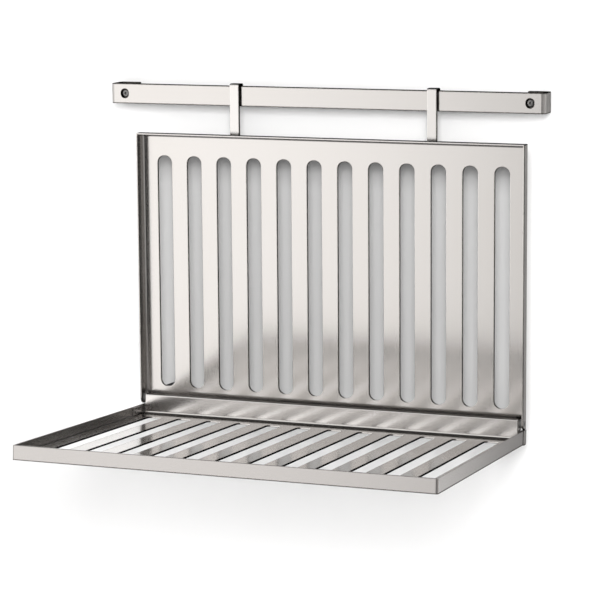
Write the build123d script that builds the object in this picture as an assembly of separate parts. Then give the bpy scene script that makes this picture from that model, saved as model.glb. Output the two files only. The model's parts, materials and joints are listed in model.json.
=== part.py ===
from build123d import *
from math import cos, radians, sin
import os

# Wall mounted fold-down drying rack, millimetres.
# X runs along the wall, Y into the wall and Z up. The wall's face is the plane Y = 0, and the origin lies
# midway between the two wall screws. The rack hangs on the rail by two straps and slides along it; the
# tray pivots on two pins at the panel's lower corners and folds up flat against the panel.

# Wall rail
RAIL_LENGTH = 450.0
RAIL_HEIGHT = 20.0
RAIL_THICK = 5.0
RAIL_DEPTH = 24.0  # front face to the wall
RAIL_FOOT = 22.0  # length of each inward foot
RAIL_BEND = 4.0  # outer radius of the bends
RAIL_BEND_INNER = 1.0
SCREW_INSET = 15.0  # screw axis to the rail's end
HEAD_HOLE_R = 4.25
FOOT_HOLE_R = 2.6

# Wall screws and the sleeves they clamp
SCREW_R = 2.25  # thread, past the wall plane
SHANK_R = 2.0  # plain shank inside the rail
SCREW_OUT = 28.0  # thread length past the wall plane
HEAD_R = 3.75
HEAD_THICK = 3.0
SOCKET_AF = 2.5  # hexagon socket, across flats
SOCKET_DEPTH = 1.8
TIP_LENGTH = 4.0
SLEEVE_R = 5.0
SLEEVE_BORE_R = 2.5

# Hanging straps
STRAP_WIDTH = 10.0
STRAP_THICK = 2.0
STRAP_OFFSET = 102.0  # each strap's middle to the middle between them
STRAP_SHIFT = 2.0  # middle between the straps, right of the rack's middle
STRAP_BACK_LEG = 14.0
STRAP_LAP = 21.0  # length welded to the panel's back
STRAP_BEND = 1.8
HOOK_GAP = 0.3  # strap to the rail's top and back
HOOK_SLACK = 1.7  # strap to the rail's front, since the load draws the hooks forward

# Panel
RACK_X = 10.0  # the rack hangs this far right of the rail's middle
RACK_WIDTH = 400.0
SHEET = 1.5
RIM_DEPTH = 13.0  # panel face to the rims' front edges
BEND_INNER = 3.0
PANEL_DROP = 27.7  # rail's underside to the panel's top
PANEL_HEIGHT = 268.7  # pivot to the panel's top
HEM_DEPTH = 8.0
HEM_INSET = 12.0  # hem's ends to the panel's sides
SLOT_COUNT = 12
SLOT_PITCH = 31.8
SLOT_WIDTH = 15.0
PANEL_SLOT_TOP = 23.0  # panel's top to the slots' upper ends
PANEL_SLOT_LENGTH = 234.5

# Tray, drawn square to the panel about its pivot, then raised by TRAY_RISE
TRAY_RISE = 4.0  # degrees that the open tray's front stands above level
PIVOT_BACK = 6.0  # rims' front edges to the pivot axis
PIVOT_UP = 6.0  # rims' lower ends to the pivot axis
PANEL_SPARE = 24.0  # panel drawn this far below the pivot before its outline is cut
STOP_GAP = 0.9  # ears' tops to the rims' ends
WALL_TOP = -6.8
WALL_HEIGHT = 13.5
TRAY_REACH = 279.0  # pivot axis to the front wall's outer face
TRAY_BEND = 2.0
FLOOR_TOP = -15.8
TRAY_SLOT_FRONT = 12.0  # front wall's inner face to the slots
TRAY_SLOT_REAR = -23.0
TRAY_SLOT_CORNER = 3.0
UPSTAND_FRONT = -5.0
UPSTAND_TOP = 4.2
UPSTAND_FLANGE = 6.5  # depth of the flange folded back along the upstand's top
UPSTAND_BEND = 1.6
RETURN_X = 195.4  # outer face of the upstand's end returns, from the middle
RETURN_REAR = 4.5
RETURN_CORNER = 4.0
EAR_THICK = 3.0
EAR_LAP = 22.0
EAR_DROP = 1.0  # ear's lower end below the walls' lower edges
EAR_CORNER = 2.5
EAR_GAP = 3.0  # ears to the side walls' rear ends

# Hinge
PIN_R = 1.5
PIN_INNER_X = 191.1
BUSH_BORE_R = 1.55
BUSH_R = 2.4
BUSH_INNER_X = 193.4
FLANGE_R = 4.0
FLANGE_GAP = 0.3
CLIP_R = 2.6
CLIP_OUTER_X = 193.1
CLIP_THICK = 0.8

# Wall bumpers behind the panel's lower corners
BUMPER_OFFSET = 180.0
BUMPER_RISE = 4.0  # bumper axis above the pivot axis
BUMPER_R = 7.0
BUMPER_TIP_R = 5.5
BUMPER_WELL_R = 3.6
BUMPER_WELL_DEPTH = 20.0
BUMPER_SCREW_R = 1.5
BUMPER_SCREW_HEAD_R = 2.9
BUMPER_SCREW_HEAD = 2.0
NUT_AF = 5.5
NUT_HEIGHT = 4.0
BUMPER_EDGE = 0.8  # rounding of the bumpers' feet and their screws' heads

EDGE = 0.4  # rounding of handled edges
EASE = 0.2  # chamfer along the straps
CUT = 1.0  # cutters run this far past the faces they open
NEAR = 0.01  # tolerance when faces and edges are picked by place

RAIL_BACK = -RAIL_DEPTH + RAIL_THICK
SCREW_X = RAIL_LENGTH / 2 - SCREW_INSET
PANEL_BACK = -RAIL_DEPTH - HOOK_SLACK - STRAP_THICK
PANEL_FACE = PANEL_BACK - SHEET
RIM_FRONT = PANEL_FACE - RIM_DEPTH
PANEL_TOP = -RAIL_HEIGHT / 2 - PANEL_DROP
PIVOT_Y = RIM_FRONT + PIVOT_BACK
PIVOT_Z = PANEL_TOP - PANEL_HEIGHT
HALF = RACK_WIDTH / 2
SLOT_XS = [(i - (SLOT_COUNT - 1) / 2) * SLOT_PITCH for i in range(SLOT_COUNT)]
WALL_BOTTOM = WALL_TOP - WALL_HEIGHT
TRAY_FRONT = -TRAY_REACH


def block(x0, x1, y0, y1, z0, z1):
    """A box between two corners."""
    return Pos((x0 + x1) / 2, (y0 + y1) / 2, (z0 + z1) / 2) * Box(x1 - x0, y1 - y0, z1 - z0)


def rod_y(radius, y0, y1):
    """A cylinder along Y on the X and Z origin."""
    return Pos(0, (y0 + y1) / 2, 0) * Rot(90, 0, 0) * Cylinder(radius, y1 - y0)


def rod_x(radius, x0, x1):
    """A cylinder along X on the Y and Z origin."""
    return Pos((x0 + x1) / 2, 0, 0) * Rot(0, 90, 0) * Cylinder(radius, x1 - x0)


def mirrored(shape):
    """The same piece on the other side of the rack's middle."""
    return mirror(shape, about=Plane.YZ)


def on_rack(shape):
    """From the rack's own middle to its place on the rail."""
    return Pos(RACK_X, 0, 0) * shape


def on_straps(shape):
    """From the middle between the straps to its place on the rail."""
    return Pos(RACK_X + STRAP_SHIFT, 0, 0) * shape


def on_pivot(shape):
    """From the pivot axis to its place on the panel."""
    return Pos(RACK_X, PIVOT_Y, PIVOT_Z) * shape


def on_tray(shape):
    """From the square tray to the open tray, raised about its pivot."""
    return on_pivot(Rot(-TRAY_RISE, 0, 0) * shape)


def make_rail():
    """One flat bar, bent back to the wall at both ends and then inward as feet."""
    outer = Pos(0, -RAIL_DEPTH / 2) * Rectangle(RAIL_LENGTH, RAIL_DEPTH)
    outer = fillet(outer.vertices(), RAIL_BEND)
    inner = Pos(0, -RAIL_DEPTH / 2) * Rectangle(RAIL_LENGTH - 2 * RAIL_THICK, RAIL_DEPTH - 2 * RAIL_THICK)
    inner = fillet(inner.vertices(), RAIL_BEND_INNER)
    mouth = Pos(0, -RAIL_THICK / 2) * Rectangle(RAIL_LENGTH - 2 * RAIL_FOOT, RAIL_THICK + 2 * CUT)
    bar = extrude(outer - inner - mouth, RAIL_HEIGHT / 2, both=True)
    long_edges = bar.edges().filter_by(lambda e: abs(abs(e.center().Z) - RAIL_HEIGHT / 2) < NEAR)
    bar = fillet(long_edges, EDGE)
    for side in (-1, 1):
        bar -= Pos(side * SCREW_X, 0, 0) * rod_y(HEAD_HOLE_R, -RAIL_DEPTH - CUT, RAIL_BACK + CUT)
        bar -= Pos(side * SCREW_X, 0, 0) * rod_y(FOOT_HOLE_R, -RAIL_THICK - CUT, CUT)
    return bar


def make_sleeve():
    """Spacer tube between the bar's back and its foot."""
    return rod_y(SLEEVE_R, RAIL_BACK, -RAIL_THICK) - rod_y(SLEEVE_BORE_R, RAIL_BACK - CUT, -RAIL_THICK + CUT)


def make_screw():
    """Socket-head screw that bears on the sleeve and runs into the wall."""
    head = rod_y(HEAD_R, RAIL_BACK - HEAD_THICK, RAIL_BACK)
    head = fillet(head.edges().group_by(Axis.Y)[0], EDGE)
    shank = rod_y(SHANK_R, RAIL_BACK, 0)
    thread = rod_y(SCREW_R, 0, SCREW_OUT - TIP_LENGTH)
    tip = Pos(0, SCREW_OUT - TIP_LENGTH / 2, 0) * Rot(-90, 0, 0) * Cone(SCREW_R, EDGE, TIP_LENGTH)
    socket = extrude(Plane.XZ.offset(-RAIL_BACK + HEAD_THICK) * RegularPolygon(SOCKET_AF / 2, 6, False),
                     -SOCKET_DEPTH)
    return head + shank + thread + tip - socket


def make_hook():
    """Flat strap: back leg, bridge over the rail, and front leg down to the panel's back."""
    front = PANEL_BACK
    back = -RAIL_DEPTH + RAIL_THICK + HOOK_GAP + STRAP_THICK
    top = RAIL_HEIGHT / 2 + HOOK_GAP + STRAP_THICK
    outer = block(-STRAP_WIDTH / 2, STRAP_WIDTH / 2, front, back, top - STRAP_BACK_LEG, top)
    throat = block(-STRAP_WIDTH, STRAP_WIDTH, front + STRAP_THICK, back - STRAP_THICK,
                   top - STRAP_BACK_LEG - CUT, top - STRAP_THICK)
    leg = block(-STRAP_WIDTH / 2, STRAP_WIDTH / 2, front, front + STRAP_THICK, PANEL_TOP - STRAP_LAP, top)
    strap = outer + leg - throat
    bends = strap.edges().filter_by(Axis.X).filter_by(lambda e: e.center().Z > top - NEAR)
    strap = fillet(bends, STRAP_BEND)
    sides = strap.faces().filter_by(Axis.X).edges()
    return chamfer(sides, EASE)


def rim_side():
    """Side outline of the panel about the pivot: the rims' rounded lower ends and slanting stop edge."""
    rise = radians(TRAY_RISE)
    reach = RIM_DEPTH - PIVOT_BACK + SHEET
    tangent = (-PIVOT_UP * sin(rise), -PIVOT_UP * cos(rise))
    middle = (-PIVOT_UP * cos(radians(45 - TRAY_RISE / 2)), -PIVOT_UP * sin(radians(45 - TRAY_RISE / 2)))
    run = (reach - tangent[0]) / cos(rise)
    rear = (reach, tangent[1] - run * sin(rise))
    outline = Line((-PIVOT_BACK, PANEL_HEIGHT), (-PIVOT_BACK, 0))
    outline += ThreePointArc((-PIVOT_BACK, 0), middle, tangent)
    outline += Line(tangent, rear)
    outline += Line(rear, (reach, PANEL_HEIGHT))
    outline += Line((reach, PANEL_HEIGHT), (-PIVOT_BACK, PANEL_HEIGHT))
    return extrude(Plane.YZ * make_face(outline), HALF, both=True)


def make_panel():
    """Slotted sheet with its top and side rims folded forward and a small hem folded back at the bottom."""
    top = PANEL_HEIGHT
    front = -PIVOT_BACK
    face = front + RIM_DEPTH
    low = -PANEL_SPARE
    back = face + SHEET
    outer = block(-HALF, HALF, front, back, low, top)
    bends = outer.edges().filter_by(lambda e: e.center().Y > back - NEAR and e.center().Z > low + NEAR)
    outer = fillet(bends, BEND_INNER + SHEET)
    inner = block(-HALF + SHEET, HALF - SHEET, front - CUT, face, low, top - SHEET)
    bends = inner.edges().filter_by(lambda e: e.center().Y > face - NEAR and e.center().Z > low + NEAR)
    inner = fillet(bends, BEND_INNER)
    panel = (outer - inner) & rim_side()
    panel += block(-HALF + HEM_INSET, HALF - HEM_INSET, face + SHEET / 2, face + HEM_DEPTH,
                   -PIVOT_UP, -PIVOT_UP + SHEET)
    slot_z = top - PANEL_SLOT_TOP - PANEL_SLOT_LENGTH / 2
    slots = [Pos(x, slot_z) * SlotOverall(PANEL_SLOT_LENGTH, SLOT_WIDTH, rotation=90) for x in SLOT_XS]
    panel -= extrude(Plane.XZ * (Sketch() + slots), RIM_DEPTH, both=True)
    return panel - rod_x(PIN_R, -HALF - CUT, HALF + CUT)


def make_tray_frame():
    """Band bent in a U: the front wall and the two side walls, up to the ears."""
    rear = -PIVOT_BACK
    length = rear - TRAY_FRONT
    outer = Pos(0, (rear + TRAY_FRONT) / 2) * Rectangle(RACK_WIDTH, length)
    outer = fillet(outer.vertices().group_by(Axis.Y)[0], TRAY_BEND)
    inner = Pos(0, (rear + TRAY_FRONT) / 2 + SHEET) * Rectangle(RACK_WIDTH - 2 * SHEET, length)
    inner = fillet(inner.vertices().group_by(Axis.Y)[0], TRAY_BEND - SHEET)
    band = extrude(Pos(0, 0, WALL_BOTTOM) * (outer - inner), WALL_HEIGHT)
    long_edges = band.edges().filter_by(lambda e: e.center().Z > WALL_TOP - NEAR)
    return fillet(long_edges, EDGE)


def make_tray_floor():
    """Slotted sheet with a rear upstand, flanged back along its top and at its two ends."""
    inside = HALF - SHEET
    front = TRAY_FRONT + SHEET
    bottom = FLOOR_TOP - SHEET
    bend_out = BEND_INNER + SHEET
    flange_rear = UPSTAND_FRONT + UPSTAND_FLANGE
    side = Polyline((front, bottom), (UPSTAND_FRONT + SHEET, bottom),
                    (UPSTAND_FRONT + SHEET, UPSTAND_TOP - SHEET), (flange_rear, UPSTAND_TOP - SHEET),
                    (flange_rear, UPSTAND_TOP), (UPSTAND_FRONT, UPSTAND_TOP), (UPSTAND_FRONT, FLOOR_TOP),
                    (front, FLOOR_TOP), close=True)
    profile = make_face(side)
    brow = profile.vertices().sort_by_distance((UPSTAND_FRONT, UPSTAND_TOP))[0]
    profile = fillet(brow, UPSTAND_BEND)
    heel = profile.vertices().sort_by_distance((UPSTAND_FRONT + SHEET, bottom))[0]
    profile = fillet(heel, bend_out)
    throat = profile.vertices().sort_by_distance((UPSTAND_FRONT, FLOOR_TOP))[0]
    profile = fillet(throat, BEND_INNER)
    floor = extrude(Plane.YZ * profile, inside, both=True)
    floor = chamfer(floor.edges().filter_by(Axis.Z).group_by(Axis.Y)[0], TRAY_BEND - SHEET)
    corner = block(RETURN_X, inside + CUT, UPSTAND_FRONT - BEND_INNER, RETURN_REAR,
                   bottom - CUT, UPSTAND_TOP + CUT)
    floor -= corner
    floor -= mirrored(corner)
    lug = block(RETURN_X - SHEET, RETURN_X, UPSTAND_FRONT, RETURN_REAR, bottom + bend_out, UPSTAND_TOP)
    lug = fillet(lug.edges().filter_by(Axis.X).sort_by_distance((RETURN_X, RETURN_REAR, UPSTAND_TOP))[0],
                 RETURN_CORNER)
    floor += lug
    floor += mirrored(lug)
    bend = floor.edges().filter_by(Axis.Z).filter_by(
        lambda e: abs(abs(e.center().X) - RETURN_X) < NEAR and abs(e.center().Y - UPSTAND_FRONT) < NEAR)
    floor = fillet(bend, SHEET - EDGE)
    slot_front = front + TRAY_SLOT_FRONT
    slot_length = TRAY_SLOT_REAR - slot_front
    slot = Rectangle(SLOT_WIDTH, slot_length)
    slot = fillet(slot.vertices(), TRAY_SLOT_CORNER)
    slots = [Pos(x, slot_front + slot_length / 2) * slot for x in SLOT_XS]
    floor -= extrude(Pos(0, 0, FLOOR_TOP) * (Sketch() + slots), SHEET + CUT, both=True)
    return floor - rod_x(BUSH_R, -RETURN_X - CUT, RETURN_X + CUT)


def make_ear():
    """Plate at the rear end of a side wall, lapped inside it; its top edge stops under the rim."""
    top = -PIVOT_UP - STOP_GAP
    bottom = WALL_BOTTOM - EAR_DROP
    rear = RIM_DEPTH - PIVOT_BACK
    ear = block(HALF - EAR_THICK, HALF, -PIVOT_BACK + EAR_GAP, rear, bottom, top)
    lower = ear.edges().filter_by(Axis.X).group_by(Axis.Z)[0]
    ear = fillet(lower, EAR_CORNER)
    inner = HALF - EAR_THICK
    outer = HALF - SHEET
    front = -PIVOT_BACK - EAR_LAP
    lap = block(inner, outer, front, 0, WALL_BOTTOM + SHEET / 2, FLOOR_TOP - SHEET)
    tab = block(inner, outer, front, 0, FLOOR_TOP, WALL_TOP - SHEET / 2)
    return ear + lap + tab


def make_pin():
    """Pivot pin, flush with the rim's outer face."""
    return rod_x(PIN_R, PIN_INNER_X, HALF)


def make_bush():
    """Flanged bush in the upstand's return; the flange fills the gap to the rim."""
    sleeve = rod_x(BUSH_R, BUSH_INNER_X, RETURN_X)
    flange = rod_x(FLANGE_R, RETURN_X, HALF - SHEET - FLANGE_GAP)
    return sleeve + flange - rod_x(BUSH_BORE_R, PIN_INNER_X, HALF)


def make_clip():
    """Push-on clip on the pin's inner end."""
    return rod_x(CLIP_R, CLIP_OUTER_X - CLIP_THICK, CLIP_OUTER_X) - rod_x(PIN_R, PIN_INNER_X, HALF)


def make_nut():
    """Hexagon weld nut on the panel's back."""
    nut = extrude(Plane.XZ.offset(-PANEL_BACK) * RegularPolygon(NUT_AF / 2, 6, False), -NUT_HEIGHT)
    return nut - rod_y(BUMPER_SCREW_R, PANEL_BACK - CUT, PANEL_BACK + NUT_HEIGHT + CUT)


def make_bumper():
    """Rubber spacer from the panel's back to the wall, hollow round the nut and with a well for its screw."""
    length = -PANEL_BACK
    body = Pos(0, PANEL_BACK + length / 2, 0) * Rot(-90, 0, 0) * Cone(BUMPER_R, BUMPER_TIP_R, length)
    body = fillet(body.edges().group_by(Axis.Y)[-1], BUMPER_EDGE)
    nut = extrude(Plane.XZ.offset(-PANEL_BACK) * RegularPolygon(NUT_AF / 2, 6, False), -NUT_HEIGHT)
    body -= nut
    body -= rod_y(BUMPER_WELL_R, -BUMPER_WELL_DEPTH, CUT)
    return body - rod_y(BUMPER_SCREW_R, PANEL_BACK - CUT, 0)


def make_bumper_screw():
    """Pan-head screw through the bumper into the weld nut."""
    start = -BUMPER_WELL_DEPTH
    head = rod_y(BUMPER_SCREW_HEAD_R, start, start + BUMPER_SCREW_HEAD)
    head = fillet(head.edges().group_by(Axis.Y)[-1], BUMPER_EDGE)
    return head + rod_y(BUMPER_SCREW_R, PANEL_BACK + SHEET / 2, start)


def both_sides(name, shape, place):
    """A left and a right node made from one shape drawn on the right."""
    return {name + "_left": place(mirrored(shape)), name + "_right": place(shape)}


def both_solids(shape, place):
    """One node that holds a piece and its mirror image as separate solids."""
    return Compound(children=[place(mirrored(shape)), place(shape)])


def in_place(shape):
    """No move, for a piece drawn where it stands."""
    return shape


def on_bumper(shape):
    """Right-hand bumper's axis."""
    return Pos(BUMPER_OFFSET, 0, PIVOT_Z + BUMPER_RISE) * shape


nodes = {"rail": make_rail(), "back_panel": on_pivot(make_panel())}
nodes |= both_sides("rail_sleeve", Pos(SCREW_X, 0, 0) * make_sleeve(), in_place)
nodes |= both_sides("wall_screw", Pos(SCREW_X, 0, 0) * make_screw(), in_place)
nodes |= both_sides("hook", Pos(STRAP_OFFSET, 0, 0) * make_hook(), on_straps)
nodes |= both_sides("wall_bumper", on_bumper(make_bumper()), on_rack)
nodes["weld_nuts"] = both_solids(on_bumper(make_nut()), on_rack)
nodes["bumper_screws"] = both_solids(on_bumper(make_bumper_screw()), on_rack)
nodes |= both_sides("hinge_pin", make_pin(), on_pivot)
nodes |= both_sides("pin_clip", make_clip(), on_pivot)
nodes["tray_frame"] = on_tray(make_tray_frame())
nodes["tray_floor"] = on_tray(make_tray_floor())
nodes |= both_sides("hinge_ear", make_ear(), on_tray)
nodes |= both_sides("hinge_bush", make_bush(), on_tray)

os.makedirs("parts", exist_ok=True)
for node, shape in nodes.items():
    export_step(shape, f"parts/{node}.step")
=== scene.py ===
import json
from math import cos, pi, radians, sin, tau
import bmesh
import bpy
from mathutils import Matrix, Vector


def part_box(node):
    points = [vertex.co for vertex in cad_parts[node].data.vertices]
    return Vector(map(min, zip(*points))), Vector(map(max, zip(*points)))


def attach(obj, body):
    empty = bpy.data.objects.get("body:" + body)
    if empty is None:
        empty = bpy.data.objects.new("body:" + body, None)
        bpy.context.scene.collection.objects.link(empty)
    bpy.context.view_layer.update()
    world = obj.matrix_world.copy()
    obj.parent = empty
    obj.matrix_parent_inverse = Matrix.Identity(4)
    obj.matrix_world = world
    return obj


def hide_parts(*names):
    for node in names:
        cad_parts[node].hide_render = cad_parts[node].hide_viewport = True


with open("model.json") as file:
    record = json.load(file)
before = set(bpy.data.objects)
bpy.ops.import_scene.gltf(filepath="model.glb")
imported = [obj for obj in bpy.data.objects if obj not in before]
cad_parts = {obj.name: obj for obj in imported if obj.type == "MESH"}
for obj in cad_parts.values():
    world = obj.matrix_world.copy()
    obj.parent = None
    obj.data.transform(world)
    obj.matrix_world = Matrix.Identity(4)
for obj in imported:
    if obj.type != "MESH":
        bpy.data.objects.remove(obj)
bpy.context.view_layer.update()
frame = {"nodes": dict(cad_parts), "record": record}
nodes = frame["nodes"]

# Wall mounted fold-down drying rack, in metres. X runs along the wall, Y into the wall and Z up.
MM = 0.001

# Camera: place, direction and lens in millimetres
CAMERA_PLACE = Vector((0.7614, -2.0849, 0.1737))
CAMERA_YAW = radians(18.28)  # towards -X
CAMERA_PITCH = radians(7.81)  # downwards
CAMERA_ROLL = radians(-0.09)
CAMERA_LENS = 135.48
CAMERA_SHIFT = (-0.1670, -0.1204)
SENSOR = 36.0

# Stage
FLOOR_Z = -0.66
STAGE_LEFT, STAGE_RIGHT = -3.2, 3.2
STAGE_TOP = 1.8
STAGE_FRONT = -4.5

# Open tray: turn about X with the front upwards, and places from its pivot before that turn, in mm
TRAY_RISE = radians(-4.0)
FLOOR_SEAM = -15.7
SEAM_SIDE, SEAM_BACK, SEAM_FRONT = 198.4, -26, -277.3
EAR_FACE = 197.0
EAR_WELDS_Y = (-11.0, -21.0)
EAR_WELDS_Z = -11.6

# Weld beads and seams, in mm
BEAD_RADIUS, SEAM_RADIUS = 1.1, 0.55
BEAD_START, BEAD_END = 3.0, 16.0  # up the strap from its lower end
BEAD_RISE = 0.3
BEAD_RIPPLE = 0.16
RIPPLE_PITCH = 1.6


# ---------------------------------------------------------------- node trees


def node(tree, kind, **settings):
    """A shader node with its inputs and properties set by name."""
    made = tree.nodes.new("ShaderNode" + kind)
    for name, value in settings.items():
        setattr(made, name, value)
    return made


def feed(tree, value, socket):
    """Links an output to the socket, or sets a plain value on it."""
    if isinstance(value, bpy.types.NodeSocket):
        tree.links.new(value, socket)
    else:
        socket.default_value = value


def maths(tree, operation, a, b=0.0, clamp=False):
    """One arithmetic step; a and b are outputs or numbers."""
    made = node(tree, "Math", operation=operation, use_clamp=clamp)
    feed(tree, a, made.inputs[0])
    feed(tree, b, made.inputs[1])
    return made.outputs[0]


def remap(tree, value, low, high, to_low, to_high):
    """The value's range low to high stretched to to_low to to_high, smoothly and clamped."""
    made = node(tree, "MapRange", interpolation_type="SMOOTHSTEP")
    feed(tree, value, made.inputs["Value"])
    for name, number in zip(("From Min", "From Max", "To Min", "To Max"), (low, high, to_low, to_high)):
        made.inputs[name].default_value = number
    return made.outputs["Result"]


def mixed(tree, factor, a, b):
    """Colour between a and b."""
    made = node(tree, "Mix", data_type="RGBA")
    feed(tree, factor, made.inputs["Factor"])
    feed(tree, a, made.inputs["A"])
    feed(tree, b, made.inputs["B"])
    return made.outputs["Result"]


def product(tree, value, *others):
    """All the values multiplied together."""
    for other in others:
        value = maths(tree, "MULTIPLY", value, other)
    return value


def rest_of(tree, value):
    """What the value leaves of 1."""
    return maths(tree, "SUBTRACT", 1.0, value)


def stretched_noise(tree, coordinate, scales, detail=3.0, roughness=0.6):
    """Noise whose grain is drawn out: scales are cycles per metre along X, Y and Z."""
    stretch = node(tree, "Mapping")
    feed(tree, coordinate, stretch.inputs["Vector"])
    stretch.inputs["Scale"].default_value = scales
    noise = node(tree, "TexNoise")
    noise.inputs["Scale"].default_value = 1.0
    noise.inputs["Detail"].default_value = detail
    noise.inputs["Roughness"].default_value = roughness
    feed(tree, stretch.outputs["Vector"], noise.inputs["Vector"])
    return noise.outputs["Fac"]


def rounded_edges(tree, radius):
    """The surface's normal with every edge rounded off to the radius."""
    rounded = node(tree, "Bevel", samples=8)
    rounded.inputs["Radius"].default_value = radius
    return rounded.outputs["Normal"]


def edge_mask(tree, rounded, full=0.86):
    """0 on flat faces and 1 where an edge is near, from the rounded and the true normal."""
    surface = node(tree, "NewGeometry")
    agree = node(tree, "VectorMath", operation="DOT_PRODUCT")
    feed(tree, rounded, agree.inputs[0])
    feed(tree, surface.outputs["True Normal"], agree.inputs[1])
    return remap(tree, agree.outputs["Value"], 0.999, full, 0.0, 1.0)


def new_material(name):
    """An empty material with its output and a principled shader joined up."""
    material = bpy.data.materials.new(name)
    material.use_nodes = True
    tree = material.node_tree
    tree.nodes.clear()
    shader = node(tree, "BsdfPrincipled")
    output = node(tree, "OutputMaterial")
    tree.links.new(shader.outputs["BSDF"], output.inputs["Surface"])
    return material, tree, shader


# ---------------------------------------------------------------- materials

STEEL_LIGHT = (0.655, 0.632, 0.612, 1.0)
STEEL_DARK = (0.590, 0.566, 0.545, 1.0)
# Lighter edge colour: partly wear, partly a painted highlight
STEEL_WORN_AND_HIGHLIGHT = (0.760, 0.745, 0.730, 1.0)
STEEL_PAINTED_SHADE = (0.070, 0.062, 0.056, 1.0)
TRAY_LIGHT = (0.500, 0.480, 0.465, 1.0)
TRAY_DARK = (0.450, 0.430, 0.415, 1.0)
STRAP_LIGHT = (0.715, 0.695, 0.675, 1.0)
STRAP_DARK = (0.650, 0.630, 0.610, 1.0)
PLAIN_TINT = (1.0, 1.0, 1.0, 1.0)
RACK_MIDDLE = sum(corner.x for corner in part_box("back_panel")) / 2
RACK_HALF = (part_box("back_panel")[1].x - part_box("back_panel")[0].x) / 2
SCREW_X = sum(corner.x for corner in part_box("wall_screw_right")) / 2

# Sheet: edge rounding, the width of the painted shade on its edges' dark side, edge wear that is partly a
# painted highlight, and roughness added by a bend
ROUNDING, EDGE_SHADE_WIDTH = 0.8 * MM, 1.9 * MM
EDGE_WEAR_AND_HIGHLIGHT = 0.5
BEND_ROUGHNESS = 0.25
SLOT_FIELD = RACK_HALF - 12 * MM  # the slots lie this far to either side of the rack's middle
# Distances from a front hole's axis across which the rail's painted shade fades in
RAIL_HOLE_SHADE = (4.6 * MM, 4.4 * MM)
RAIL_EDGE_SHADE, UPSTAND_EDGE_SHADE = 0.92, 0.7  # how much painted shade darkens the rail's and the upstand's cut edges
SURFACE_GRAIN = 0.02 * MM

# Grain in cycles per metre, along it and across it
ALONG, ACROSS = 60.0, 3800.0


def middle(name):
    """The middle of a CAD node's box."""
    low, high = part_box(name)
    return (low + high) / 2


def facing(tree, axis):
    """1 where the surface faces along the axis, either way, in the piece's own frame, and 0 elsewhere."""
    split = node(tree, "SeparateXYZ")
    feed(tree, node(tree, "TexCoord").outputs["Normal"], split.inputs[0])
    return remap(tree, maths(tree, "ABSOLUTE", split.outputs[axis]), 0.80, 0.97, 0.0, 1.0)


def coordinate(tree, place, axis):
    """One coordinate of a place."""
    split = node(tree, "SeparateXYZ")
    feed(tree, place, split.inputs[0])
    return split.outputs[axis]


def slot_walls(tree, place):
    """1 on the walls of the slots, which face along X inside the field of slots."""
    off = maths(tree, "ABSOLUTE", maths(tree, "SUBTRACT", coordinate(tree, place, "X"), RACK_MIDDLE))
    return product(tree, facing(tree, "X"), maths(tree, "LESS_THAN", off, SLOT_FIELD))


def bends(tree):
    """1 where sheet is bent round between the front and a side."""
    split = node(tree, "SeparateXYZ")
    feed(tree, node(tree, "TexCoord").outputs["Normal"], split.inputs[0])
    slant = maths(tree, "ABSOLUTE", product(tree, split.outputs["X"], split.outputs["Y"]))
    return remap(tree, slant, 0.04, 0.20, 0.0, 1.0)


def painted_edge_shade(tree, way, both, faces):
    """Painted shade on edges: 1 where an edge's rounding leans along the way in the piece's own frame, or
    against it too if both is true, and also on the faces that look that way if faces is true."""
    rounded = rounded_edges(tree, EDGE_SHADE_WIDTH)
    turn = node(tree, "VectorTransform", vector_type="NORMAL", convert_from="WORLD", convert_to="OBJECT")
    feed(tree, rounded, turn.inputs[0])
    lean = node(tree, "VectorMath", operation="DOT_PRODUCT")
    feed(tree, turn.outputs[0], lean.inputs[0])
    lean.inputs[1].default_value = way
    value = maths(tree, "ABSOLUTE", lean.outputs["Value"]) if both else lean.outputs["Value"]
    leaning = remap(tree, value, 0.10, 0.18, 0.0, 1.0)
    return leaning if faces else product(tree, leaning, edge_mask(tree, rounded, 0.985))


def grained(tree, shader, height, strength, depth, rounded):
    """Joins the grain's height, over the rounded edges, to the shader."""
    bump = node(tree, "Bump")
    bump.inputs["Strength"].default_value = strength
    bump.inputs["Distance"].default_value = depth
    feed(tree, height, bump.inputs["Height"])
    feed(tree, rounded, bump.inputs["Normal"])
    feed(tree, bump.outputs["Normal"], shader.inputs["Normal"])


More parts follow.
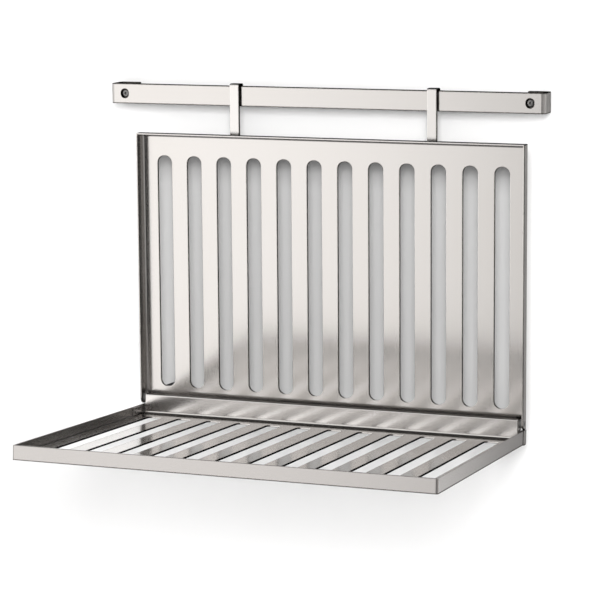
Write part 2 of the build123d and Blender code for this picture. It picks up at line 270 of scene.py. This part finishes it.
def satin_steel(name, grain, roughness, cut_shade, shade_way, light=STEEL_LIGHT, dark=STEEL_DARK, both=False, faces=True,
                bend=0.0):
    """Satin-ground stainless sheet. Grain is cycles per metre on X, Y and Z. The cut function gives the cut
    faces and gaps that painted shade darkens. The way given after it is where the edges with painted shade
    lean, and bend is the roughness that bending adds."""
    material, tree, shader = new_material(name)
    place = node(tree, "TexCoord").outputs["Object"]
    fine = stretched_noise(tree, place, grain, detail=4.0)
    cloudy = stretched_noise(tree, place, (9.0, 9.0, 9.0), detail=2.0)
    scratch = stretched_noise(tree, place, tuple(0.23 * s for s in grain), detail=5.0, roughness=0.75)
    rounded = rounded_edges(tree, ROUNDING)
    tone = maths(tree, "ADD", product(tree, fine, 0.55), product(tree, cloudy, 0.45))
    colour = mixed(tree, remap(tree, tone, 0.35, 0.65, 0.0, 1.0), dark, light)
    # Edges lighter all round: partly wear, partly a painted highlight
    colour = mixed(tree, product(tree, edge_mask(tree, rounded), EDGE_WEAR_AND_HIGHLIGHT), colour, STEEL_WORN_AND_HIGHLIGHT)
    # Painted shade: edges leaning one way, and the cut faces and gaps, darken in colour and in specular tint
    painted_shade = maths(tree, "MAXIMUM", painted_edge_shade(tree, shade_way, both, faces), cut_shade(tree, place), clamp=True)
    feed(tree, mixed(tree, painted_shade, colour, STEEL_PAINTED_SHADE), shader.inputs["Base Color"])
    feed(tree, mixed(tree, painted_shade, PLAIN_TINT, STEEL_PAINTED_SHADE), shader.inputs["Specular Tint"])
    shader.inputs["Metallic"].default_value = 1.0
    rough = remap(tree, maths(tree, "ADD", fine, product(tree, cloudy, 0.6)), 0.5, 1.1,
                  roughness - 0.04, roughness + 0.05)
    feed(tree, maths(tree, "ADD", rough, product(tree, bends(tree), bend)), shader.inputs["Roughness"])
    height = maths(tree, "ADD", fine, product(tree, scratch, 0.5))
    grained(tree, shader, height, 0.12, SURFACE_GRAIN, rounded)
    return material


def turned_steel(name, colour, worn, roughness):
    """Small turned or headed part: fine rings and a little speckle."""
    material, tree, shader = new_material(name)
    place = node(tree, "TexCoord").outputs["Object"]
    rings = stretched_noise(tree, place, (900.0, 5200.0, 900.0), detail=3.0)
    speckle = stretched_noise(tree, place, (620.0, 620.0, 620.0), detail=4.0)
    rounded = rounded_edges(tree, 0.2 * MM)
    edges = edge_mask(tree, rounded)
    dim = tuple(0.86 * c for c in colour)
    base = mixed(tree, remap(tree, speckle, 0.35, 0.65, 0.0, 1.0), dim + (1.0,), colour + (1.0,))
    base = mixed(tree, product(tree, edges, 0.6), base, worn + (1.0,))
    feed(tree, base, shader.inputs["Base Color"])
    shader.inputs["Metallic"].default_value = 1.0
    feed(tree, remap(tree, rings, 0.3, 0.7, roughness - 0.06, roughness + 0.08), shader.inputs["Roughness"])
    grained(tree, shader, rings, 0.25, SURFACE_GRAIN, rounded)
    return material


def moulded(name, dark, light, roughness, pitch, depth):
    """Moulded rubber or nylon: fine pitting, dull patches and rubbed edges."""
    material, tree, shader = new_material(name)
    place = node(tree, "TexCoord").outputs["Object"]
    pits = stretched_noise(tree, place, (pitch, pitch, pitch), detail=3.0)
    patches = stretched_noise(tree, place, (160.0, 160.0, 160.0), detail=3.0)
    rounded = rounded_edges(tree, 0.5 * MM)
    edges = edge_mask(tree, rounded)
    tone = maths(tree, "ADD", product(tree, patches, 0.7), product(tree, edges, 0.35))
    colour = mixed(tree, remap(tree, tone, 0.25, 0.8, 0.0, 1.0), dark + (1.0,), light + (1.0,))
    feed(tree, colour, shader.inputs["Base Color"])
    feed(tree, remap(tree, patches, 0.3, 0.7, roughness - 0.1, roughness + 0.1), shader.inputs["Roughness"])
    shader.inputs["Specular IOR Level"].default_value = 0.4
    grained(tree, shader, pits, 0.35, depth, rounded)
    return material


def upward(tree, place, height):
    """1 on level faces above the height."""
    return product(tree, facing(tree, "Z"), maths(tree, "GREATER_THAN", coordinate(tree, place, "Z"), height))


def panel_painted_shade(tree, place):
    """Painted shade on the slots' walls, the top, and the strip behind the gap beside the tray's upstand."""
    x, y, z = (coordinate(tree, place, axis) for axis in "XYZ")
    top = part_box("back_panel")[1].z - 1 * MM
    shaded_faces = maths(tree, "MAXIMUM", slot_walls(tree, place), upward(tree, place, top))
    rim = RACK_MIDDLE + RACK_HALF
    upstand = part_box("tray_floor")[1].z
    strip = remap(tree, x, rim - 11 * MM, rim - 9.5 * MM, 0.0, 1.0)
    low = remap(tree, z, upstand + 2 * MM, upstand - 1 * MM, 0.0, 0.95)
    deep = maths(tree, "GREATER_THAN", y, middle("back_panel").y - 3 * MM)
    return maths(tree, "MAXIMUM", shaded_faces, product(tree, strip, low, deep, facing(tree, "Y")))


def floor_painted_shade(tree, place):
    """Painted shade on the slots' walls and the upstand's top."""
    top = upward(tree, place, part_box("tray_floor")[1].z - 3 * MM)
    return maths(tree, "MAXIMUM", slot_walls(tree, place), product(tree, top, UPSTAND_EDGE_SHADE))


def ear_painted_shade(tree, place):
    """Painted shade on the ears' front and top edges, which stand off the side walls and the rims."""
    near = maths(tree, "GREATER_THAN", coordinate(tree, place, "Y"), middle("hinge_pin_right").y - 8 * MM)
    return product(tree, near, maths(tree, "MAXIMUM", facing(tree, "Y"), facing(tree, "Z")))


def strap_painted_shade(tree, place):
    """Painted shade on the straps' long edges."""
    return maths(tree, "MAXIMUM", facing(tree, "X"), product(tree, facing(tree, "Z"), 0.8))


def rail_painted_shade(tree, place):
    """Painted shade on the rail's long edges and the walls of its two front holes."""
    off = maths(tree, "SUBTRACT", maths(tree, "ABSOLUTE", coordinate(tree, place, "X")), SCREW_X)
    z = coordinate(tree, place, "Z")
    away = maths(tree, "SQRT", maths(tree, "ADD", product(tree, off, off), product(tree, z, z)))
    hole_shade = remap(tree, away, *RAIL_HOLE_SHADE, 0.0, 1.0)
    return maths(tree, "MAXIMUM", hole_shade, product(tree, facing(tree, "Z"), RAIL_EDGE_SHADE))


materials = {
    "rail_steel": satin_steel("rail_steel", (ALONG, ACROSS, ACROSS), 0.22, rail_painted_shade, (0, 0, 1), both=True,
                              bend=BEND_ROUGHNESS),
    "hook_steel": satin_steel("hook_steel", (ACROSS, ACROSS, ALONG), 0.20, strap_painted_shade, (1, 0, 0),
                              light=STRAP_LIGHT, dark=STRAP_DARK),
    "panel_steel": satin_steel("panel_steel", (ACROSS, ACROSS, ALONG), 0.19, panel_painted_shade, (1, 0, 0),
                               faces=False),
    "tray_steel": satin_steel("tray_steel", (ALONG, ACROSS, ACROSS), 0.22, ear_painted_shade, (0, 0, -1),
                              light=TRAY_LIGHT, dark=TRAY_DARK, bend=BEND_ROUGHNESS),
    "floor_steel": satin_steel("floor_steel", (ACROSS, ALONG, ACROSS), 0.16, floor_painted_shade, (1, 0, 0),
                               faces=False),
    "sleeve_steel": turned_steel("sleeve_steel", (0.50, 0.49, 0.48), (0.70, 0.69, 0.68), 0.34),
    "screw_steel": turned_steel("screw_steel", (0.24, 0.235, 0.23), (0.62, 0.61, 0.60), 0.26),
    "pin_steel": turned_steel("pin_steel", (0.15, 0.147, 0.143), (0.32, 0.315, 0.31), 0.30),
    "bumper_rubber": moulded("bumper_rubber", (0.018, 0.018, 0.019), (0.055, 0.054, 0.053), 0.68, 2600.0,
                             0.05 * MM),
    "bush_nylon": moulded("bush_nylon", (0.085, 0.083, 0.080), (0.13, 0.127, 0.123), 0.5, 1800.0, 0.02 * MM),
}


def dress_cad_nodes():
    """Every CAD node takes the procedural material of its slot."""
    for part in frame["record"]["subparts"]:
        owner = nodes[part["node"]]
        owner.data.materials.clear()
        owner.data.materials.append(materials[part["material_slot"]])


# ---------------------------------------------------------------- small pieces

STEPS = 48  # points round a turned piece


def hexagon(corner):
    """Radius of a hexagon, out to its corners, as a function of angle."""
    return lambda angle: corner * cos(pi / 6) / cos(angle % (pi / 3) - pi / 6)


def cross(reach, half_width):
    """Radius of a four-armed recess as a function of angle."""
    def radius(angle):
        turn = abs((angle + pi / 4) % (pi / 2) - pi / 4)
        return min(reach, half_width / max(sin(turn), 0.01))
    return radius


def toothed(inner, outer, teeth):
    """Radius of a notched hole: teeth touch the inner radius and the notches reach the outer one."""
    return lambda angle: inner + (outer - inner) * max(0.0, cos(teeth * angle)) ** 3


def thread(crest, depth, pitch, along):
    """Radius of a screw thread at one place along it, as a function of angle."""
    return lambda angle: crest - depth * abs(2 * ((along / pitch - angle / tau) % 1.0) - 1)


def turned(name, sections, place, body, slot, axis="Y", looped=False, replaced=()):
    """A piece skinned over sections in mm, each a place along the axis and a radius or its function."""
    shape = bmesh.new()
    rings = []
    for along, radius in sections:
        ring = []
        for step in range(STEPS):
            angle = tau * step / STEPS
            reach = radius(angle) if callable(radius) else radius
            spot = Vector((reach * cos(angle), along, reach * sin(angle))) * MM
            ring.append(shape.verts.new(spot))
        rings.append(ring)
    pairs = list(zip(rings, rings[1:]))
    if looped:
        pairs.append((rings[-1], rings[0]))
    for first, second in pairs:
        for step in range(STEPS):
            after = (step + 1) % STEPS
            shape.faces.new((first[step], first[after], second[after], second[step]))
    bmesh.ops.remove_doubles(shape, verts=shape.verts, dist=0.0005 * MM)
    bmesh.ops.recalc_face_normals(shape, faces=shape.faces)
    mesh = bpy.data.meshes.new(name)
    shape.to_mesh(mesh)
    shape.free()
    turn = Matrix.Rotation(-pi / 2, 4, "Z") if axis == "X" else Matrix.Identity(4)
    mesh.transform(Matrix.Translation(place) @ turn)
    mesh.shade_smooth()
    mesh.set_sharp_from_angle(angle=radians(32))
    mesh.materials.append(materials[slot])
    made = bpy.data.objects.new(name, mesh)
    bpy.context.scene.collection.objects.link(made)
    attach(made, body)
    if replaced:
        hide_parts(*replaced)


def threaded(start, end, crest, depth, pitch, rows=6):
    """Sections of a thread from start to end."""
    count = round((end - start) / pitch * rows)
    places = [start + (end - start) * i / count for i in range(count + 1)]
    return [(along, thread(crest, depth, pitch, along)) for along in places]


def shifted(profile, start):
    """A profile moved along its axis to the start."""
    return [(start + along, radius) for along, radius in profile]


# Profiles in mm: the place along the axis and the radius there, or its function of angle
SCREW_HEAD = ((2.1, 0.0), (1.8, hexagon(1.44)), (0.2, hexagon(1.44)), (0.0, hexagon(1.66)), (0.0, 2.95),
              (0.1, 3.3), (0.3, 3.58), (0.6, 3.72), (0.8, 3.75), (2.85, 3.75), (3.0, 3.6), (3.0, 2.0))
SCREW_SHANK = ((-0.6, 2.0), (-0.1, 1.7))  # ends at the wall
SCREW_CREST, SCREW_DEPTH, SCREW_PITCH = 2.25, 0.6, 1.8
SCREW_POINT, POINT_STEP, POINT_DEPTH = 4.0, 0.5, 0.3
BUMPER_BACK = ((0.0, 6.3), (0.3, 6.85), (1.0, 6.95))
BUMPER_RADIUS, BUMPER_TAPER = 7.0, 1.5
RIBS, RIB_START, RIB_PITCH = 4, 3.0, 5.2
RIB = ((0.0, 0.0), (0.4, -0.55), (2.0, -0.7), (2.4, -0.15), (2.7, -0.1))  # the radius is from the taper
BUMPER_FOOT = ((-0.9, 5.5), (-0.4, 5.35), (-0.1, 5.0), (0.0, 4.6), (0.0, 4.0), (-0.3, 3.6))
BUMPER_WELL = ((7.9, 3.6), (7.7, 3.3), (7.7, 1.5))
CROSS_HEAD = ((-1.1, 0.0), (-1.0, cross(0.85, 0.3)), (0.0, cross(1.3, 0.42)), (0.0, 1.9), (-0.15, 2.35),
              (-0.5, 2.75), (-1.0, 2.9), (-1.95, 2.9), (-2.0, 1.5))
CROSS_CREST, CROSS_DEPTH, CROSS_PITCH = 1.5, 0.28, 0.5
CROSS_TIP = ((0.0, 1.1), (0.0, 0.0))
CLIP_BORE = toothed(1.5, 2.0, 6)
CLIP = ((-1.0, CLIP_BORE), (-1.0, 2.1), (-0.3, 2.45), (0.4, 2.6), (1.0, 2.55), (1.0, 2.35), (0.2, 2.1),
        (-0.3, CLIP_BORE))  # along is a share of half the clip's thickness
SPOT = ((0.12, 0.0), (0.05, 0.9), (-0.12, 1.5), (-0.14, 1.9), (0.1, 2.4))


def wall_screw(side):
    """Socket-head wall screw: chamfered socket, rounded head, plain shank, coarse thread and point."""
    low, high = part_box("wall_screw_" + side)
    tip = high.y / MM
    sections = shifted(SCREW_HEAD, low.y / MM) + list(SCREW_SHANK)
    sections += threaded(0.0, tip - SCREW_POINT, SCREW_CREST, SCREW_DEPTH, SCREW_PITCH)
    for step in range(1, 7):
        down = POINT_STEP * step
        along = tip - SCREW_POINT + down
        sections.append((along, thread(SCREW_CREST - down / 2, POINT_DEPTH, SCREW_PITCH, along)))
    sections.append((tip, 0.0))
    centre = middle("wall_screw_" + side)
    turned("socket_screw_" + side, sections, Vector((centre.x, 0, centre.z)), "rail", "screw_steel",
           replaced=["wall_screw_" + side])


def bumper(side):
    """Ribbed rubber spacer with a well, and the cross-head screw at the bottom of the well."""
    low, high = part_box("wall_bumper_" + side)
    back, foot = low.y / MM, high.y / MM
    outer = shifted(BUMPER_BACK, back)
    for rib in range(RIBS):
        start = RIB_START + RIB_PITCH * rib
        taper = BUMPER_RADIUS - BUMPER_TAPER * start / (foot - back)
        outer += shifted([(along, taper + radius) for along, radius in RIB], back + start)
    outer += shifted(BUMPER_FOOT, foot) + shifted(BUMPER_WELL, back)
    centre = middle("wall_bumper_" + side)
    place = Vector((centre.x, 0, centre.z))
    turned("ribbed_bumper_" + side, outer, place, "rack", "bumper_rubber", replaced=["wall_bumper_" + side])
    start, end = (corner.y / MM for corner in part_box("bumper_screws"))
    sections = shifted(CROSS_HEAD, end)
    sections += reversed(threaded(start + 0.3, end - 2.1, CROSS_CREST, CROSS_DEPTH, CROSS_PITCH))
    sections += shifted(CROSS_TIP, start)
    turned("cross_screw_" + side, sections, place, "rack", "screw_steel", replaced=["bumper_screws"])


def clip(side):
    """Push-on star clip: a dished washer whose six teeth grip the pin."""
    low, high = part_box("pin_clip_" + side)
    half = (high.x - low.x) / 2 / MM
    outward = half if side == "left" else -half
    sections = [(along * outward, radius) for along, radius in CLIP]
    turned("star_clip_" + side, sections, middle("pin_clip_" + side), "rack", "pin_steel", axis="X",
           looped=True, replaced=["pin_clip_" + side])


def bead(name, points, radius, body, slot, ripple=0.0):
    """A weld bead or filled seam of a radius in mm along a line of points, rippled like laid metal."""
    line = bpy.data.curves.new(name, "CURVE")
    line.dimensions = "3D"
    line.bevel_depth = radius * MM
    line.bevel_resolution = 3
    line.use_fill_caps = True
    spots = []
    for first, second in zip(points, points[1:]):
        count = max(1, round((second - first).length / (RIPPLE_PITCH * MM / 4)) if ripple else 1)
        spots += [first.lerp(second, i / count) for i in range(count)]
    spots.append(points[-1])
    spline = line.splines.new("POLY")
    spline.points.add(len(spots) - 1)
    for i, spot in enumerate(spots):
        spline.points[i].co = (*spot, 1.0)
        spline.points[i].radius = 1.0 + ripple * sin(tau * i / 4 + 0.7)
    line.materials.append(materials[slot])
    made = bpy.data.objects.new(name, line)
    bpy.context.scene.collection.objects.link(made)
    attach(made, body)


def strap_welds(side):
    """Two short fillet welds that hold a strap's lap to the panel's back."""
    low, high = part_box("hook_" + side)
    for edge, x in (("inner", low.x), ("outer", high.x)):
        points = [Vector((x, low.y + BEAD_RISE * MM, low.z + up * MM)) for up in (BEAD_START, BEAD_END)]
        name = "strap_weld_" + side + "_" + edge
        bead(name, points, BEAD_RADIUS, "rack", "panel_steel", ripple=BEAD_RIPPLE)


def on_tray(x, y, z):
    """A place on the tray, from its pivot and before its rise, to the object's frame."""
    pivot = middle("hinge_pin_right")
    turn = Matrix.Rotation(TRAY_RISE, 3, "X")
    return Vector((RACK_MIDDLE, pivot.y, pivot.z)) + turn @ (Vector((x, y, z)) * MM)


def tray_seam():
    """The ground seam between the tray's floor and its three walls."""
    corners = ((-SEAM_SIDE, SEAM_BACK), (-SEAM_SIDE, SEAM_FRONT), (SEAM_SIDE, SEAM_FRONT),
               (SEAM_SIDE, SEAM_BACK))
    places = [on_tray(x, y, FLOOR_SEAM) for x, y in corners]
    bead("tray_seam", places, SEAM_RADIUS, "tray", "pin_steel")


def spot_welds(side):
    """Two spot welds through each ear's lap, raised a little on its inner face."""
    sign = -1 if side == "left" else 1
    sections = [(along * sign, radius) for along, radius in SPOT]
    for i, y in enumerate(EAR_WELDS_Y):
        place = on_tray(sign * EAR_FACE, y, EAR_WELDS_Z)
        turned("spot_weld_" + side + "_" + str(i), sections, place, "tray", "tray_steel", axis="X")


def build_pieces():
    """Everything small that the CAD nodes only stand in for or leave out."""
    for side in ("left", "right"):
        wall_screw(side)
        bumper(side)
        clip(side)
        strap_welds(side)
        spot_welds(side)
    tray_seam()


# ---------------------------------------------------------------- stage, light and camera

# Each ramp is where it starts, where it ends, and its value at either end; places are in the rack's frame
SEEN_RIGHT = (0.212, 0.36, 0.27, 0.78)
SEEN_RACK = (0.212, 0.208, 0.0, 1.0)
RAIL_UNDER, RAIL_END = (-0.038, -0.030, 0.0, 0.95), (0.228, 0.222, 0.0, 1.0)
FOOT_UNDER, FOOT_END = (-0.290, -0.300, 0.0, 0.9), (-0.192, -0.186, 0.0, 1.0)
SHADE_LEFT, SHADE_RIGHT = (-0.207, -0.186, 0.0, 1.0), (0.204, 0.188, 0.0, 1.0)
SHADE_TOP, SHADE_FOOT = (-0.042, -0.060, 0.0, 1.0), (-0.325, -0.302, 0.0, 1.0)
SHADE_DEPTH = (-0.095, -0.062, 0.36, 0.56)
BELOW_FOOT, BELOW_TOP = (-0.53, -0.42, 0.0, 0.10), (-0.33, -0.37, 0.0, 1.0)
BELOW_LEFT, BELOW_RIGHT = (-0.56, -0.38, 0.0, 1.0), (0.26, 0.10, 0.0, 1.0)
FLOOR_SEEN = 0.25
FLOOR_END = (-0.9, -1.2, 0.0, 1.0)
PAINT_DARK, PAINT_LIGHT = (0.895, 0.895, 0.895, 1.0), (0.905, 0.905, 0.905, 1.0)
UNSEEN = (0.03, 0.028, 0.026, 1.0)
BLACK = (0.0, 0.0, 0.0, 1.0)

# Soft boxes: place, aim, width, height and power
KEY = ((0.85, -2.6, 0.75), (0.0, 0.0, -0.15), 0.9, 0.9, 48.0)
FILL = ((0.6, -3.2, 0.2), (0.0, 0.0, -0.2), 3.2, 2.4, 24.0)

# Studio surround: ramps like those above, by the direction looked in
LEFT_ACROSS, LEFT_LOW = (-0.05, -0.37, 0.0, 1.60), (-0.55, -0.12, 0.35, 1.0)
LEFT_MID, LEFT_HIGH = (0.02, 0.22, 1.0, 0.58), (0.25, 0.55, 1.0, 0.06)
RIGHT_ACROSS, RIGHT_FRONT = (0.45, 0.60, 0.02, 0.45), (-0.10, -0.30, 0.7, 1.0)
HIGH_FOOT, HIGH_TOP, HIGH_FRONT = (0.28, 0.40, 0.0, 1.3), (0.62, 0.80, 1.0, 0.0), (-0.10, -0.30, 0.0, 1.0)
BACKDROP = 0.94
STUDIO_WHITE = (1.0, 0.992, 0.985, 1.0)


def stage_material(name, share_seen, share_clear, shade):
    """Matt pale paint, clear from behind. The functions say how much the steel sees of it, how far it sees
    through it, and how much painted shadow darkens the paint."""
    material = bpy.data.materials.new(name)
    material.use_nodes = True
    tree = material.node_tree
    tree.nodes.clear()
    place = node(tree, "TexCoord").outputs["Object"]
    around = node(tree, "TexCoord", object=nodes["back_panel"]).outputs["Object"]  # slides with the rack
    mottle = stretched_noise(tree, place, (7.0, 7.0, 7.0), detail=2.0)
    glossy = node(tree, "LightPath").outputs["Is Glossy Ray"]
    dimmed = product(tree, glossy, rest_of(tree, share_seen(tree, around)))
    paint = mixed(tree, mottle, PAINT_DARK, PAINT_LIGHT)
    # Painted shadow darkens the paint behind the rack and under the tray
    paint = mixed(tree, shade(tree, around), paint, BLACK)
    paint = mixed(tree, dimmed, paint, UNSEEN)
    diffuse = node(tree, "BsdfDiffuse")
    feed(tree, paint, diffuse.inputs["Color"])
    clear = node(tree, "BsdfTransparent")
    choice = node(tree, "MixShader")
    seen_through = product(tree, glossy, share_clear(tree, place))
    behind = node(tree, "NewGeometry").outputs["Backfacing"]
    feed(tree, maths(tree, "MAXIMUM", behind, seen_through), choice.inputs[0])
    feed(tree, diffuse.outputs[0], choice.inputs[1])
    feed(tree, clear.outputs[0], choice.inputs[2])
    output = node(tree, "OutputMaterial")
    feed(tree, choice.outputs[0], output.inputs["Surface"])
    return material


def wall_seen(tree, place):
    """Dim round the rail and just right of the rack, rising further right, and full elsewhere."""
    x, z = coordinate(tree, place, "X"), coordinate(tree, place, "Z")
    rack = remap(tree, x, *SEEN_RACK)
    across = maths(tree, "MAXIMUM", remap(tree, x, *SEEN_RIGHT), rack)
    band = product(tree, remap(tree, z, *RAIL_UNDER), remap(tree, x, *RAIL_END))
    foot = product(tree, remap(tree, z, *FOOT_UNDER), remap(tree, x, *FOOT_END), rack)
    return product(tree, across, rest_of(tree, foot), rest_of(tree, band))


def wall_clear(tree, place):
    """The wall is nowhere clear from the front."""
    return 0.0


def wall_shade(tree, place):
    """Painted shadow: dark just behind the rack, where little of the room's light comes in, and under the
    tray.
    """
    x, z = coordinate(tree, place, "X"), coordinate(tree, place, "Z")
    across = product(tree, remap(tree, x, *SHADE_LEFT), remap(tree, x, *SHADE_RIGHT))
    down = product(tree, remap(tree, z, *SHADE_TOP), remap(tree, z, *SHADE_FOOT))
    behind = product(tree, across, down, remap(tree, z, *SHADE_DEPTH))
    below = product(tree, remap(tree, z, *BELOW_FOOT), remap(tree, z, *BELOW_TOP))
    wide = product(tree, remap(tree, x, *BELOW_LEFT), remap(tree, x, *BELOW_RIGHT))
    return maths(tree, "MAXIMUM", behind, product(tree, below, wide))


def floor_seen(tree, place):
    """The steel sees the floor dim all over."""
    return FLOOR_SEEN


def floor_shade(tree, place):
    """The floor isn't shaded."""
    return 0.0


def floor_clear(tree, place):
    """The steel sees through the floor well in front of the rack, to the studio beyond."""
    return remap(tree, coordinate(tree, place, "Y"), *FLOOR_END)


def sheet_object(name, corners, material):
    """A flat quadrilateral of the stage."""
    mesh = bpy.data.meshes.new(name)
    mesh.from_pydata(corners, [], [range(len(corners))])
    made = bpy.data.objects.new(name, mesh)
    bpy.context.scene.collection.objects.link(made)
    mesh.materials.append(material)


def build_stage():
    """A pale wall behind the rack and a pale floor below it."""
    wall = [(STAGE_LEFT, 0, FLOOR_Z), (STAGE_RIGHT, 0, FLOOR_Z), (STAGE_RIGHT, 0, STAGE_TOP),
            (STAGE_LEFT, 0, STAGE_TOP)]
    floor = [(STAGE_LEFT, STAGE_FRONT, FLOOR_Z), (STAGE_RIGHT, STAGE_FRONT, FLOOR_Z),
             (STAGE_RIGHT, 0, FLOOR_Z), (STAGE_LEFT, 0, FLOOR_Z)]
    sheet_object("stage_wall", wall, stage_material("stage_wall", wall_seen, wall_clear, wall_shade))
    sheet_object("stage_floor", floor, stage_material("stage_floor", floor_seen, floor_clear, floor_shade))


def build_world():
    """Studio surround: bright to the front left and overhead, and dark to the front right."""
    world = bpy.data.worlds.new("studio")
    bpy.context.scene.world = world
    world.use_nodes = True
    tree = world.node_tree
    tree.nodes.clear()
    split = node(tree, "SeparateXYZ")
    feed(tree, node(tree, "TexCoord").outputs["Generated"], split.inputs[0])
    x, y, z = split.outputs
    left = product(tree, remap(tree, x, *LEFT_ACROSS), remap(tree, z, *LEFT_LOW), remap(tree, z, *LEFT_MID),
                   remap(tree, z, *LEFT_HIGH))
    right = product(tree, remap(tree, x, *RIGHT_ACROSS), remap(tree, y, *RIGHT_FRONT))
    high = product(tree, remap(tree, z, *HIGH_FOOT), remap(tree, z, *HIGH_TOP), remap(tree, y, *HIGH_FRONT))
    level = maths(tree, "MAXIMUM", maths(tree, "MAXIMUM", left, right), high)
    seen = node(tree, "LightPath").outputs["Is Camera Ray"]
    level = maths(tree, "ADD", product(tree, level, rest_of(tree, seen)), product(tree, seen, BACKDROP))
    background = node(tree, "Background")
    background.inputs["Color"].default_value = STUDIO_WHITE
    feed(tree, level, background.inputs["Strength"])
    output = node(tree, "OutputWorld")
    feed(tree, background.outputs[0], output.inputs["Surface"])


def soft_light(name, place, aim, width, height, power):
    """A rectangular soft box aimed at a point, which lights the stage and doesn't show in the steel."""
    lamp = bpy.data.lights.new(name, "AREA")
    lamp.shape = "RECTANGLE"
    lamp.size, lamp.size_y = width, height
    lamp.energy = power
    made = bpy.data.objects.new(name, lamp)
    bpy.context.scene.collection.objects.link(made)
    made.location = place
    made.rotation_euler = (Vector(aim) - Vector(place)).to_track_quat("-Z", "Y").to_euler()
    made.visible_glossy = False
    made.visible_camera = False


def build_lights():
    """A smaller key from the upper right and a broad fill, both near the camera's direction."""
    soft_light("key", *KEY)
    soft_light("fill", *FILL)


def build_camera():
    """The camera at its place, turn and lens."""
    forward = Vector((-sin(CAMERA_YAW) * cos(CAMERA_PITCH), cos(CAMERA_YAW) * cos(CAMERA_PITCH),
                      -sin(CAMERA_PITCH)))
    level = Vector((cos(CAMERA_YAW), sin(CAMERA_YAW), 0.0))
    upright = level.cross(forward)
    right = cos(CAMERA_ROLL) * level + sin(CAMERA_ROLL) * upright
    up = cos(CAMERA_ROLL) * upright - sin(CAMERA_ROLL) * level
    turn = Matrix((right, up, -forward)).transposed().to_4x4()
    lens = bpy.data.cameras.new("camera")
    lens.sensor_width = SENSOR
    lens.lens = CAMERA_LENS
    lens.shift_x, lens.shift_y = CAMERA_SHIFT
    camera = bpy.data.objects.new("camera", lens)
    camera.matrix_world = Matrix.Translation(CAMERA_PLACE) @ turn
    bpy.context.scene.collection.objects.link(camera)
    bpy.context.scene.camera = camera


dress_cad_nodes()
build_pieces()
build_stage()
build_world()
build_lights()
build_camera()
bpy.context.scene.view_settings.view_transform = "Standard"

bpy.context.view_layer.update()
